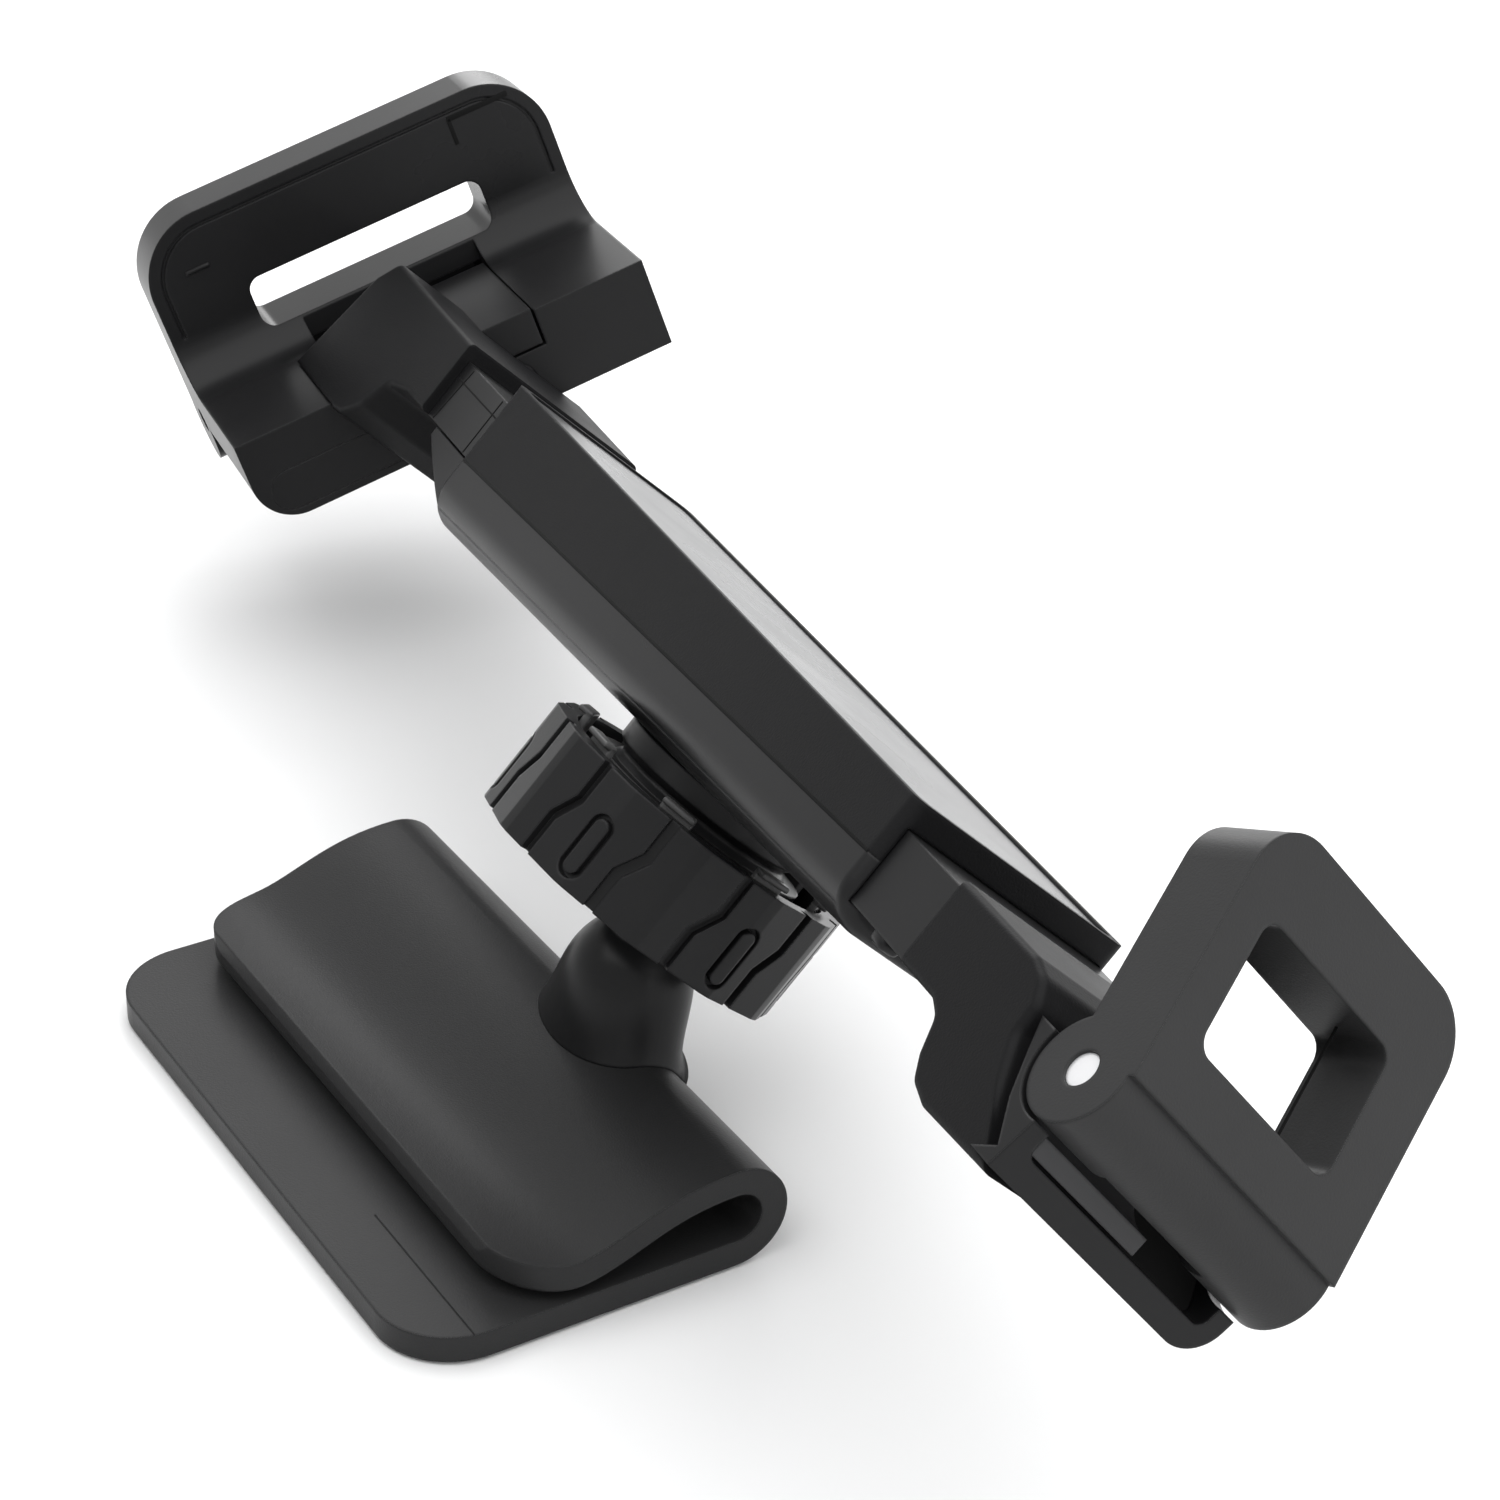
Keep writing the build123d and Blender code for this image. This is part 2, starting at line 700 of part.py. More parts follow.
jaw_near = across(jaw_plate_side, near_jaw_low, near_jaw_high)
top_corners = jaw_near.edges().filter_by(
    lambda e: abs(e.length - near_jaw_thickness) < near_enough
    and e.center().Z > near_pin_z + near_jaw_top / 2
)
jaw_near = fillet(top_corners, near_jaw_corner)
jaw_near += near_barrel(near_knuckle, near_jaw_low, near_jaw_high)
jaw_plane = Pos(near_pin_x, 0, near_pin_z) * Rot(Y=-near_lean)
window_hole = jaw_plane * Pos(0, near_window_y, near_window_u) * Rot(Y=90) * extrude(
    RectangleRounded(near_window[1], near_window[0], near_window_corner),
    amount=2 * near_jaw_thickness, both=True,
)
jaw_near -= window_hole
lug_room = near_barrel(lug_radius + lug_gap, lug_low - lug_gap, lug_high + lug_gap)
lug_swing = across(
    Polyline(
        near_place(0, 0), near_place(-2 * near_knuckle, lug_swing_rise * near_knuckle),
        near_place(-2 * near_knuckle, -2 * near_knuckle), near_place(0, -2 * near_knuckle), close=True,
    ),
    lug_low - lug_gap, lug_high + lug_gap,
)
jaw_near -= lug_room + lug_swing
jaw_near -= near_barrel(pin_radius + pin_gap, near_jaw_low - over_cut, near_jaw_high + over_cut)
pin_near = near_barrel(pin_radius, near_jaw_low + pin_sink, near_jaw_high - pin_sink)
lug = near_barrel(lug_radius, lug_low, lug_high) + across(
    Polyline(
        (lug_root[0], lug_root[1]), (near_pin_x, near_pin_z - lug_radius),
        (near_pin_x, near_pin_z + lug_shoulder), (lug_root[0], lug_root[2]), close=True,
    ),
    lug_low, lug_high,
)
slot_middle = (near_foot_low + near_foot_high) / 2
slot_width = near_foot_high - near_foot_low - 2 * slot_border
slot_centre = Pos(near_foot_outline[-1][0], slot_middle, (slot_low + slot_high) / 2)
slot_cutter = slot_centre * Rot(Y=90) * extrude(
    RectangleRounded(slot_high - slot_low, slot_width, slot_corner), amount=slot_depth, both=True
)
knuckle_room = near_barrel(near_knuckle + lug_gap, near_foot_low - over_cut, near_foot_high + over_cut)
foot_bounds = Pos(
    near_foot_outline[3][0], near_foot_high - foot_reach, foot_reach + near_foot_outline[4][1]
)
foot_near = near_foot & foot_bounds * Rot(Y=90) * extrude(
    RectangleRounded(2 * foot_reach, 2 * foot_reach, foot_corner), amount=foot_reach, both=True
)
foot_near = foot_near - slot_cutter - knuckle_room + lug
foot_near -= pin_near
tongue = near_barrel(tongue_radius + tongue_thickness, near_foot_low + slot_border + lug_gap, tongue_end)
tongue -= near_barrel(tongue_radius, near_foot_low, tongue_end + over_cut)
tongue_sector = across(
    Polyline(
        (near_pin_x, near_pin_z), (near_pin_x + tongue_forward, near_pin_z - 2 * tongue_radius),
        (near_pin_x - tongue_radius, near_pin_z - 2 * tongue_radius), close=True,
    ),
    near_foot_low, tongue_end + over_cut,
)
tongue = tongue & tongue_sector

near_outline = softened(
    near_bracket_outline, bracket_bend, near_seam + stub_radius, near_bracket_outline[5][0]
)
bracket_near = across(near_outline, -half_width, half_width)
near_side_edges = bracket_near.edges().filter_by(
    lambda e: abs(abs(e.center().Y) - half_width) < near_enough
    and near_seam + bracket_round < e.center().X < near_bracket_outline[5][0]
    and e.center().Z > arm_bottom
)
bracket_near = fillet(near_side_edges, bracket_round)
bracket_near = bracket_near - stub_room(near_seam, near_stub_end, 1)
bracket_near -= near_claw * (near_foot + foot_near + slot_cutter)
bracket_near -= near_claw * knuckle_room

# Far claw: the jaw is an L with a window, a concave bend and thick rounded foot arms.
far_claw = Rot(X=far_turn)
heel_top = (far_inner - far_thickness - heel_bulge, far_pin_z + heel_rise)
far_side = [
    Line((far_inner - far_thickness, far_top), (far_inner, far_top)),
    Line((far_inner, far_top), (far_inner, ledge_top + bend_radius)),
    RadiusArc(
        (far_inner, ledge_top + bend_radius), (far_inner + bend_radius, ledge_top), -bend_radius
    ),
    Line((far_inner + bend_radius, ledge_top), (far_front, ledge_top)),
    Line((far_front, ledge_top), (far_front, foot_bottom)),
    Line((far_front, foot_bottom), (far_pin_x, foot_bottom)),
    ThreePointArc(
        (far_pin_x, foot_bottom), (far_pin_x - heel_radius, far_pin_z - heel_fall), heel_top,
    ),
    Line(heel_top, (far_inner - far_thickness, far_top)),
]
jaw_far = across(far_side, far_low, far_high)
far_top_corners = jaw_far.edges().filter_by(
    lambda e: abs(e.length - far_thickness) < near_enough
    and e.center().Z > far_top - near_enough
)
jaw_far = fillet(far_top_corners, far_corner)
foot_end = jaw_far.edges().filter_by(Axis.X).filter_by(
    lambda e: e.center().Y < far_low + near_enough and e.center().Z < foot_bottom + near_enough
)
jaw_far = fillet(foot_end, foot_end_radius)
far_window_cutter = Pos(far_inner, far_window_y, far_window_z) * Rot(Y=90) * extrude(
    RectangleRounded(far_window[1], far_window[0], far_window_corner),
    amount=2 * far_thickness, both=True,
)
jaw_far -= far_window_cutter
groove_width = far_high - far_low - 2 * border_inset
groove_height = far_top - border_inset - foot_bottom
groove_outer = RectangleRounded(groove_height, groove_width, far_corner - border_inset)
groove_inner = RectangleRounded(
    groove_height - 2 * border_line, groove_width - 2 * border_line,
    far_corner - border_inset - border_line,
)
groove_centre = Pos(far_inner, (far_low + far_high) / 2, foot_bottom + groove_height / 2)
border_groove = groove_centre * Rot(Y=90) * extrude(
    groove_outer - groove_inner, amount=border_depth, both=True
)
border_groove -= box_between(
    (far_inner - far_thickness, 2 * far_low, 2 * foot_bottom),
    (far_front, 2 * far_high, ledge_top + bend_radius),
)
jaw_far -= border_groove


def far_barrel(radius, low, high):
    """A cylinder round the far pin."""
    return across(Pos(far_pin_x, far_pin_z) * Circle(radius).edge(), low, high)


pocket_half = middle_half + middle_gap
jaw_far -= box_between(
    (middle_back - middle_gap - middle_swing, -pocket_half, middle_low - middle_gap),
    (far_front + over_cut, pocket_half, ledge_top + bend_radius / 2),
)
jaw_far -= far_barrel(lug_radius + lug_gap, -pocket_half, pocket_half)
jaw_far -= box_between(
    (far_pin_x - link_swing, -pocket_half, far_pin_z - lug_radius - lug_gap),
    (middle_back + 2 * middle_gap, pocket_half, ledge_top),
)
jaw_far -= far_barrel(pin_radius + pin_gap, far_low - over_cut, far_high + over_cut)
pin_far = far_barrel(pin_radius, far_low + pin_sink, far_high - pin_sink)
ledge_far = far_barrel(lug_radius, -middle_half, middle_half)
ledge_far += box_between(
    (far_pin_x, -middle_half, link_low), (middle_back, middle_half, link_high)
)
ledge_far += box_between(
    (middle_back, -middle_half, middle_low), (far_front, middle_half, middle_top)
)
ledge_far -= pin_far
insert_face = Pos(far_front, far_low + insert_border + insert_length / 2, (middle_low + foot_bottom) / 2)
foot_insert = insert_face * Rot(Y=90) * extrude(
    SlotOverall(insert_length, middle_low - foot_bottom - insert_border, rotation=90),
    amount=-insert_depth,
)
jaw_far -= foot_insert
far_outline = softened(
    far_bracket_outline, bracket_bend, far_bracket_outline[2][0], far_seam - stub_radius
)
bracket_far = across(far_outline, -half_width, half_width)
far_side_edges = bracket_far.edges().filter_by(
    lambda e: abs(abs(e.center().Y) - half_width) < near_enough
    and e.center().X < far_seam - bracket_round
    and e.center().Z > far_bracket_outline[4][1] + bracket_round
)
bracket_far = fillet(far_side_edges, bracket_round)
bracket_far -= stub_room(far_seam, far_stub_end, -1)
claw_room = across(far_side, 2 * far_low, 2 * far_high) + box_between(
    (far_inner - foot_room, 2 * far_low, room_bottom), (far_front + hook_gap, 2 * far_high, middle_top)
)
bracket_far -= far_claw * claw_room

# The cover is bonded to the back shell along the sloping parting plane, so no screw shows.
save(leaf, "clip_leaf")
save(base_pad, "base_pad")
save(stem_screws, "stem_screws")
save(ball_stem, "ball_stem")
save(ball_liner, "ball_liner")
save(socket, "socket")
save(lock_ring, "lock_ring")
save(head * cover, "front_cover")
save(head * panel, "front_panel")
save(head * shell, "back_shell")
save(swivel_plate, "swivel_plate")
save(swivel_screws, "swivel_screws")
save(head * pinion, "pinion")
save(head * axle, "pinion_axle")
save(head * arm_near, "arm_near")
save(head * arm_far, "arm_far")
save(head * screw_near, "stub_screw_near")
save(head * screw_far, "stub_screw_far")
save(head * bracket_near, "bracket_near")
save(head * bracket_far, "bracket_far")
save(head * near_claw * foot_near, "foot_near")
save(head * near_claw * tongue, "tongue")
save(head * near_claw * jaw_near, "jaw_near")
save(head * near_claw * pin_near, "pin_near")
save(head * far_claw * ledge_far, "ledge_far")
save(head * far_claw * foot_insert, "foot_insert")
save(head * far_claw * jaw_far, "jaw_far")
save(head * far_claw * pin_far, "pin_far")
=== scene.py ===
# %% [markdown]
# # A clip-on tablet holder, dressed in Blender
# The holder is one bar with two claws on a ball joint, held by a clip folded from one leaf.
# Everything here is moulded black plastic with a few steel pins, so the lesson is about
# telling black surfaces apart: by tone, by grain, by gloss and by the light along their edges.
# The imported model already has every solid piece. It is loaded first, and its box is kept.

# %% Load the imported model
import json
import math

import bmesh
import bpy
from mathutils import Matrix, Vector


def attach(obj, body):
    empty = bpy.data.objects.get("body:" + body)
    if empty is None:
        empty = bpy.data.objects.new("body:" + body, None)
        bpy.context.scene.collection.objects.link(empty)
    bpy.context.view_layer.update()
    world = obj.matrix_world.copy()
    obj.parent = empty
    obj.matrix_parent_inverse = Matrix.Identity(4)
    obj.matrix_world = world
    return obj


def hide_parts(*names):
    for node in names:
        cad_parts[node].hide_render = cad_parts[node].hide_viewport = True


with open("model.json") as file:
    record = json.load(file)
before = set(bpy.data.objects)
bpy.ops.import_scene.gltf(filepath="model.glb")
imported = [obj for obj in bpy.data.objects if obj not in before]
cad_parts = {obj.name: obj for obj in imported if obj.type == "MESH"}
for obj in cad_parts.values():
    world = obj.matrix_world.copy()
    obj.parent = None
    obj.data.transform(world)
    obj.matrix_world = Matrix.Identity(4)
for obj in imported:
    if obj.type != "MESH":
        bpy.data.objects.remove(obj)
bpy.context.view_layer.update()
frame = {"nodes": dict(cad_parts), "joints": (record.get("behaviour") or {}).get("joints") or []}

millimetre = 0.001

# %% [markdown]
# The photograph is taken from the near end of the bar, a little above it, with a short
# telephoto lens, which keeps the two claws at nearly the same scale. A camera could be aimed
# with a tracking constraint, but that can't give the roll of about one degree. So it is written
# as a point to aim at, a distance and three directions.

# %% Camera
azimuth = math.radians(57.998)
elevation = math.radians(30.271)
roll = math.radians(1.327)
aim = Vector((-8.931, 48.431, 30.5)) * millimetre
distance = 426.935 * millimetre
focal_length = 86.69
sensor_width = 36

backward = Vector((
    math.cos(elevation) * math.sin(azimuth),
    -math.cos(elevation) * math.cos(azimuth),
    math.sin(elevation),
))
level_right = Vector((math.cos(azimuth), math.sin(azimuth), 0))
level_up = backward.cross(level_right)
right = math.cos(roll) * level_right + math.sin(roll) * level_up
up = -math.sin(roll) * level_right + math.cos(roll) * level_up
camera_turn = Matrix((right, up, backward)).transposed().to_4x4()

camera_data = bpy.data.cameras.new("camera")
camera_data.lens = focal_length
camera_data.sensor_width = sensor_width
camera_data.clip_start = 10 * millimetre
camera_data.dof.use_dof = False
camera = bpy.data.objects.new("camera", camera_data)
camera.matrix_world = Matrix.Translation(aim + distance * backward) @ camera_turn
bpy.context.scene.collection.objects.link(camera)
bpy.context.scene.camera = camera
bpy.context.scene.view_settings.view_transform = "Standard"
print("camera aims", [round(value, 3) for value in aim], "from", round(distance, 3), "m")

# %% [markdown]
# The photograph shows the holder on a plain floor, which takes its shadow. A curved studio
# sweep could be modelled, but one pale square is enough here. It is kept small, so that its
# edge lies where the lamps still light it white.

# %% Floor
floor_half = 0.6
floor_white = 0.93

floor_mesh = bpy.data.meshes.new("floor")
floor_form = bmesh.new()
bmesh.ops.create_grid(floor_form, x_segments=1, y_segments=1, size=floor_half)
floor_form.to_mesh(floor_mesh)
floor_form.free()
floor = bpy.data.objects.new("floor", floor_mesh)
bpy.context.scene.collection.objects.link(floor)
floor_material = bpy.data.materials.new("pale_floor")
floor_material.use_nodes = True
floor_shader = floor_material.node_tree.nodes["Principled BSDF"]
floor_shader.inputs["Base Color"].default_value = (floor_white, floor_white, floor_white, 1)
floor_shader.inputs["Roughness"].default_value = 0.9
floor_shader.inputs["Specular IOR Level"].default_value = 0.1
floor.data.materials.append(floor_material)
print("floor", 2 * floor_half, "m wide")

# %% [markdown]
# The photograph's background is white, and so is the room that the plastic reflects. A white
# world would do that, but its light would turn the blacks grey. So the camera and the
# reflections see white, and all other rays get a weak light. The Light Path node tells what
# kind of ray asks.

# %% World
room_light = 0.2

world = bpy.data.worlds.new("pale_room")
bpy.context.scene.world = world
world.use_nodes = True
nodes, links = world.node_tree.nodes, world.node_tree.links
nodes.clear()
ray = nodes.new("ShaderNodeLightPath")
seen = nodes.new("ShaderNodeBackground")
seen.inputs["Color"].default_value = (1, 1, 1, 1)
lit = nodes.new("ShaderNodeBackground")
lit.inputs["Color"].default_value = (0.96, 0.98, 1, 1)
lit.inputs["Strength"].default_value = room_light
either = nodes.new("ShaderNodeMixShader")
output = nodes.new("ShaderNodeOutputWorld")
white_for = ray.outputs["Is Camera Ray"]
for kind in ("Is Glossy Ray", "Is Transmission Ray"):
    larger = nodes.new("ShaderNodeMath")
    larger.operation = "MAXIMUM"
    links.new(white_for, larger.inputs[0])
    links.new(ray.outputs[kind], larger.inputs[1])
    white_for = larger.outputs["Value"]
links.new(white_for, either.inputs["Fac"])
links.new(lit.outputs["Background"], either.inputs[1])
links.new(seen.outputs["Background"], either.inputs[2])
links.new(either.outputs["Shader"], output.inputs["Surface"])
print("world", world.name, "lights at", room_light)

# %% [markdown]
# Black plastic shows little but reflections, so the size and place of a lamp matter more than
# its strength. A very wide box overhead makes a soft shadow. A small one on the right gives the
# near jaw its sheen and throws no shadow of its own. A long one far behind on the left draws
# the bright lines along the upper edges.

# %% Lamps
middle_of_object = Vector((0, 30, 40)) * millimetre


def soft_box(name, place, width, height, power):
    """An area lamp that looks at the middle of the object; sizes in metres, power in watts."""
    data = bpy.data.lights.new(name, "AREA")
    data.shape = "RECTANGLE"
    data.size = width
    data.size_y = height
    data.energy = power
    lamp = bpy.data.objects.new(name, data)
    lamp.location = place
    look = middle_of_object - Vector(place)
    lamp.rotation_euler = look.to_track_quat("-Z", "Y").to_euler()
    bpy.context.scene.collection.objects.link(lamp)
    return lamp


top_box = soft_box("top_box", (0.1, 0.1, 1.1), 2.2, 2.2, 31.0)
right_box = soft_box("right_box", (1.0, 0.35, 0.5), 0.6, 0.6, 3.0)
right_box.data.use_shadow = False
back_left_box = soft_box("back_left_box", (-0.8, 0.5, 0.52), 0.45, 0.9, 4.0)
print("lamps", [lamp.name for lamp in (top_box, right_box, back_left_box)])

# %% [markdown]
# Moulded plastic isn't smooth: the steel mould is spark-eroded, so the surface is covered
# with tiny rounded pits. An image could carry them, but a noise has no seams and no end. One
# node group makes that grain for every material, with its own fineness and gloss. It puts out
# a height, a roughness and a tone, and each material feeds them to its own shader. The middle
# part of the clouds is spread over the whole span of roughness, so that both ends are met.

# %% Grain group
cloud_fineness = 45.0
cloud_low = 0.3
cloud_high = 0.7

grain = bpy.data.node_groups.new("moulded_grain", "ShaderNodeTree")
sockets = grain.interface
sockets.new_socket(name="Place", in_out="INPUT", socket_type="NodeSocketVector")
for name, usual in (("Fineness", 3000.0), ("Rough Low", 0.4), ("Rough High", 0.5)):
    socket = sockets.new_socket(name=name, in_out="INPUT", socket_type="NodeSocketFloat")
    socket.default_value = usual
for name in ("Height", "Roughness", "Tone"):
    sockets.new_socket(name=name, in_out="OUTPUT", socket_type="NodeSocketFloat")
inner, wire = grain.nodes, grain.links
entry = inner.new("NodeGroupInput")
leave = inner.new("NodeGroupOutput")
pits = inner.new("ShaderNodeTexNoise")
pits.inputs["Detail"].default_value = 3.0
clouds = inner.new("ShaderNodeTexNoise")
clouds.inputs["Scale"].default_value = cloud_fineness
clouds.inputs["Detail"].default_value = 4.0
spread = inner.new("ShaderNodeMapRange")
spread.inputs["From Min"].default_value = cloud_low
spread.inputs["From Max"].default_value = cloud_high
wire.new(entry.outputs["Place"], pits.inputs["Vector"])
wire.new(entry.outputs["Fineness"], pits.inputs["Scale"])
wire.new(entry.outputs["Place"], clouds.inputs["Vector"])
wire.new(clouds.outputs["Fac"], spread.inputs["Value"])
wire.new(entry.outputs["Rough Low"], spread.inputs["To Min"])
wire.new(entry.outputs["Rough High"], spread.inputs["To Max"])
wire.new(pits.outputs["Fac"], leave.inputs["Height"])
wire.new(spread.outputs["Result"], leave.inputs["Roughness"])
wire.new(clouds.outputs["Fac"], leave.inputs["Tone"])
print("grain group sockets", len(sockets.items_tree))

# %% [markdown]
# Each finish is one material: two close tones mixed by the clouds, the pits as a bump, and a
# small rounding of every sharp edge, because no real edge is sharp. The rounding could be cut
# into the mesh, but the Bevel node turns the normals alone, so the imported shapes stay.


# %% A finish
def finish(name, dark, light, rough, fineness, depth, rounding):
    """A material with two tones, a span of roughness, and a grain and an edge in millimetres."""
    material = bpy.data.materials.new(name)
    material.use_nodes = True
    nodes, links = material.node_tree.nodes, material.node_tree.links
    shader = nodes["Principled BSDF"]
    place = nodes.new("ShaderNodeTexCoord")
    group = nodes.new("ShaderNodeGroup")
    group.node_tree = grain
    group.inputs["Fineness"].default_value = fineness
    group.inputs["Rough Low"].default_value = rough[0]
    group.inputs["Rough High"].default_value = rough[1]
    links.new(place.outputs["Object"], group.inputs["Place"])
    tone = nodes.new("ShaderNodeMix")
    tone.data_type = "RGBA"
    tone.inputs["A"].default_value = (*dark, 1)
    tone.inputs["B"].default_value = (*light, 1)
    links.new(group.outputs["Tone"], tone.inputs["Factor"])
    links.new(tone.outputs["Result"], shader.inputs["Base Color"])
    links.new(group.outputs["Roughness"], shader.inputs["Roughness"])
    edge = nodes.new("ShaderNodeBevel")
    edge.samples = 4
    edge.inputs["Radius"].default_value = rounding * millimetre
    bump = nodes.new("ShaderNodeBump")
    bump.inputs["Strength"].default_value = 1.0
    bump.inputs["Distance"].default_value = depth * millimetre
    links.new(group.outputs["Height"], bump.inputs["Height"])
    links.new(edge.outputs["Normal"], bump.inputs["Normal"])
    links.new(bump.outputs["Normal"], shader.inputs["Normal"])
    return material


def plastic(name, dark, light, rough, fineness, depth, rounding, shine=0.16):
    """A moulded plastic; its shine is the strength of what it reflects."""
    material = finish(name, dark, light, rough, fineness, depth, rounding)
    shader = material.node_tree.nodes["Principled BSDF"]
    shader.inputs["Specular IOR Level"].default_value = shine
    return material


print("finish helpers ready")

# %% [markdown]
# The bar, the clip and the near jaw come from textured moulds and look satin, the bar and the
# clip each in its own tone. The near jaw's lighter grey is painted sheen: the light its face
# catches from the right. The shell, the arms and the far jaw are smoother and show longer
# highlights. The panel in the front is a glossy dark grey. What hides inside is left plain. One
# material for all would be simpler, but then the pieces would melt into one black shape.

# %% Plastics of the holder
satin = plastic(
    "satin_black", (0.005, 0.005, 0.0055), (0.009, 0.009, 0.0095), (0.42, 0.5),
    fineness=4200, depth=0.03, rounding=0.5, shine=0.08,
)
clip_satin = plastic(
    "clip_satin", (0.022, 0.022, 0.0225), (0.03, 0.03, 0.0305), (0.36, 0.42),
    fineness=4200, depth=0.03, rounding=0.5, shine=0.12,
)
# The near jaw's grey, lighter than the bar's black, is painted sheen: the light its face
# catches.
jaw_sheen_satin = plastic(
    "jaw_sheen_satin", (0.03, 0.03, 0.0305), (0.04, 0.04, 0.0405), (0.36, 0.42),
    fineness=4200, depth=0.02, rounding=0.5, shine=0.1,
)
smooth = plastic(
    "smooth_black", (0.008, 0.008, 0.0085), (0.012, 0.012, 0.0125), (0.27, 0.34),
    fineness=1500, depth=0.004, rounding=0.4,
)
ring_black = plastic(
    "ring_black", (0.008, 0.008, 0.0085), (0.013, 0.013, 0.0135), (0.28, 0.36),
    fineness=3000, depth=0.01, rounding=0.4,
)
panel_grey = plastic(
    "panel_smooth", (0.04, 0.04, 0.042), (0.05, 0.05, 0.052), (0.24, 0.3),
    fineness=900, depth=0.001, rounding=0.3, shine=0.3,
)
pad_dull = plastic(
    "pad_dull", (0.01, 0.01, 0.011), (0.016, 0.016, 0.016), (0.6, 0.7),
    fineness=2500, depth=0.03, rounding=0.2,
)
inner_plain = plastic(
    "inner_plain", (0.03, 0.03, 0.03), (0.04, 0.04, 0.04), (0.45, 0.5),
    fineness=2000, depth=0.01, rounding=0.3,
)
print("plastics", satin.name, clip_satin.name, jaw_sheen_satin.name, smooth.name, ring_black.name)

# %% [markdown]
# The two claw pins and the hidden screws are turned steel. A pure metal shows only what it
# reflects, so a small pin head set in a black claw can turn nearly black itself. A lower
# Metallic leaves a silvery base, which stays bright from every side.

# %% Steel of the pins
steel = finish(
    "turned_steel", (0.72, 0.72, 0.73), (0.86, 0.86, 0.87), (0.22, 0.34),
    fineness=2600, depth=0.003, rounding=0.3,
)
steel.node_tree.nodes["Principled BSDF"].inputs["Metallic"].default_value = 0.35
print("steel", steel.name)

# %% [markdown]
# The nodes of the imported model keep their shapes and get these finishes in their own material
# slots. Each node could be dressed on a line of its own, but a table of the finishes and their
# nodes is easier to read and to change.

# %% Dress the nodes
nodes_of_finish = {
    clip_satin: ["clip_leaf"],
    pad_dull: ["base_pad"],
    smooth: [
        "ball_stem", "socket", "back_shell", "arm_near", "arm_far", "foot_near", "tongue",
        "ledge_far", "jaw_far", "foot_insert",
    ],
    satin: ["front_cover", "bracket_near", "bracket_far"],
    jaw_sheen_satin: ["jaw_near"],
    ring_black: ["lock_ring"],
    panel_grey: ["front_panel"],
    inner_plain: ["ball_liner", "swivel_plate", "pinion"],
    steel: [
        "stem_screws", "swivel_screws", "pinion_axle", "stub_screw_near", "stub_screw_far",
        "pin_near", "pin_far",
    ],
}
dressed = 0
for material, names in nodes_of_finish.items():
    for name in names:
        solid = frame["nodes"][name]
        if not solid.material_slots:
            solid.data.materials.append(material)
        for slot in solid.material_slots:
            slot.material = material
        dressed += 1
print("dressed", dressed, "nodes")

# %% [markdown]
# The fine parts are placed in the directions of the object itself. The bar's directions come
# from its joints: the slide runs along the bar, and the turn of the body points out of its
# front. Each claw is turned about the bar, which the line of its jaw's hinge tells. The clip
# stands square in the shared frame. The bar stands askew in it, and could be measured there
# too, but along its own directions the numbers stay simple.

# %% Directions of the bar and the claws
arm_height = 1.7 * millimetre

joint = {entry["name"]: entry for entry in frame["joints"]}
along = Vector(joint["near_slide"]["axis"])
outward = Vector(joint["body_turn"]["axis"])
middle_of_bar = Vector(joint["pinion_spin"]["pos_m"]) - arm_height * outward


def directions(across):
    """A frame with X along the bar and Y across, from the middle of the bar."""
    axes = Matrix((along, across, along.cross(across)))
    return Matrix.Translation(middle_of_bar) @ axes.transposed().to_4x4()


bar = directions(outward.cross(along))
near_claw = directions(Vector(joint["near_jaw_hinge"]["axis"]))
far_claw = directions(Vector(joint["far_jaw_hinge"]["axis"]))
clip = Matrix.Identity(4)
print("bar runs", [round(value, 3) for value in along])

# %% [markdown]
# Most small features of a moulded part are short blocks with soft edges. One helper makes
# them: a cube is stretched, its edges are rounded, and it is moved to its place, all in
# millimetres of the object. Several blocks can share one mesh, as one moulded piece. Before it
# stands a helper that brings any such form into the object's frame, as a piece that rides on
# its body. Plain cubes with a Bevel modifier would look the same, but the helpers make each
# piece short to write.


# %% Small moulded blocks
def finished_piece(form, name, body, material, frame_of):
    """Bring a form in millimetres into the object's frame, and let it ride on a body."""
    bmesh.ops.scale(form, verts=form.verts, vec=(millimetre, millimetre, millimetre))
    bmesh.ops.transform(form, verts=form.verts, matrix=frame_of)
    bmesh.ops.recalc_face_normals(form, faces=form.faces)
    mesh = bpy.data.meshes.new(name)
    form.to_mesh(mesh)
    form.free()
    piece = bpy.data.objects.new(name, mesh)
    bpy.context.scene.collection.objects.link(piece)
    mesh.materials.append(material)
    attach(piece, body)
    print(name, len(mesh.polygons), "faces")
    return piece


def moulded(name, body, material, frame_of, blocks):
    """One piece of soft blocks; each has a centre, a size, a rounding and a turn about Y."""
    form = bmesh.new()
    for centre, size, rounding, turn in blocks:
        made = bmesh.ops.create_cube(form, size=1.0)["verts"]
        bmesh.ops.scale(form, verts=made, vec=size)
        edges = list({edge for vertex in made for edge in vertex.link_edges})
        rounded = bmesh.ops.bevel(
            form, geom=edges, offset=rounding, offset_type="OFFSET", segments=3,
            profile=0.5, affect="EDGES", material=-1,
        )
        corners = {vertex for face in rounded["faces"] for vertex in face.verts}
        made = list(corners | {vertex for vertex in made if vertex.is_valid})
        turned = Matrix.Rotation(turn, 3, "Y")
        bmesh.ops.rotate(form, verts=made, cent=(0, 0, 0), matrix=turned)
        bmesh.ops.translate(form, verts=made, vec=centre)
    for face in form.faces:
        face.smooth = True
    return finished_piece(form, name, body, material, frame_of)


print("block helpers ready")
